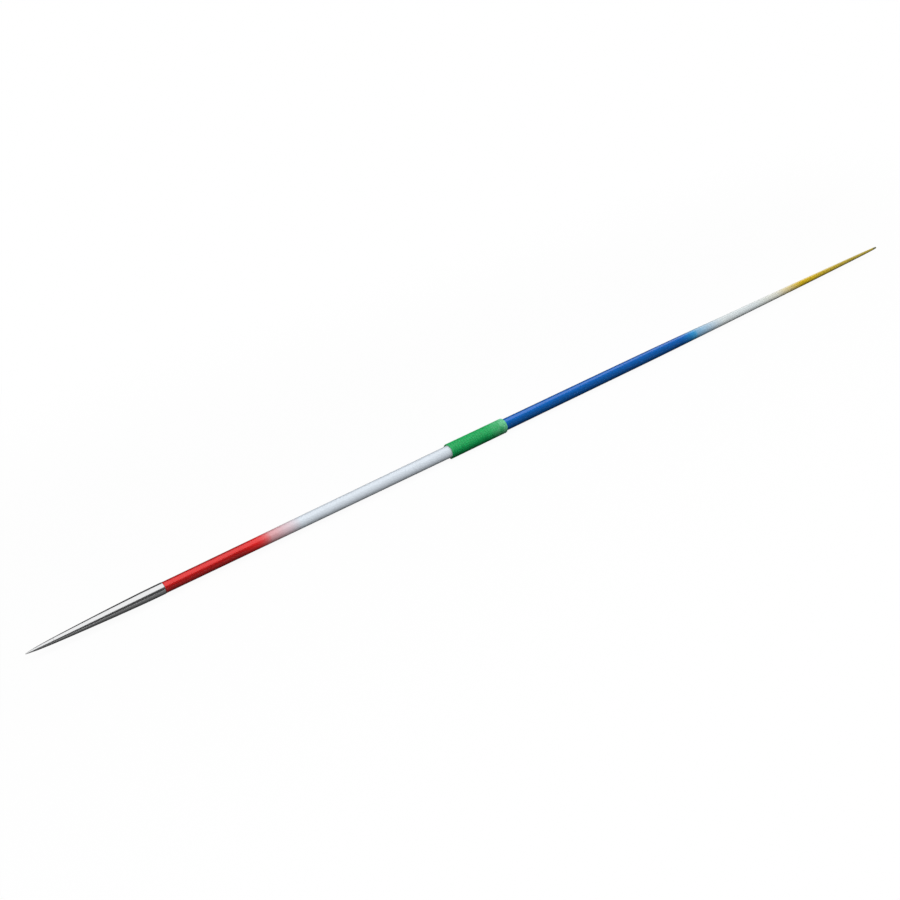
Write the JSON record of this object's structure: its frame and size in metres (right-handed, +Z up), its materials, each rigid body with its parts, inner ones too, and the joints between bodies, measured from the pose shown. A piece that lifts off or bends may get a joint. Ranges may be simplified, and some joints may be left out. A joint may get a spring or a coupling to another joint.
{
  "type": "javelin",
  "caption": "Throwing javelin with a pointed polished steel head, a slim tapered metal shaft in fading colours, a wound cord grip at the balance point and a small rounded tail.",
  "frame": {"origin": "middle of the grip's length, on the flat that the cord winding rests on", "axes": "+X along the javelin from the head's point to the tail, +Z up"},
  "size_m": [2.62, 0.0342, 0.0342],
  "materials": {
    "polished_steel": "polished",
    "hardened_steel": "polished",
    "plain_steel": "satin",
    "bare_aluminium": "satin",
    "front_lacquer": "gloss",
    "rear_lacquer": "gloss",
    "cloth_tape": "matte",
    "grip_cord": "matte",
    "tail_plastic": "satin"
  },
  "bodies": {
    "root": {"head_point": "hardened_steel", "head_shell": "polished_steel", "balance_weight": "plain_steel", "nose_plug": "bare_aluminium", "front_tube": "front_lacquer", "joint_sleeve": "bare_aluminium", "rear_tube": "rear_lacquer", "tail_plug": "tail_plastic", "grip_tape": "cloth_tape", "grip_cord": "grip_cord"}
  },
  "joints": []
}
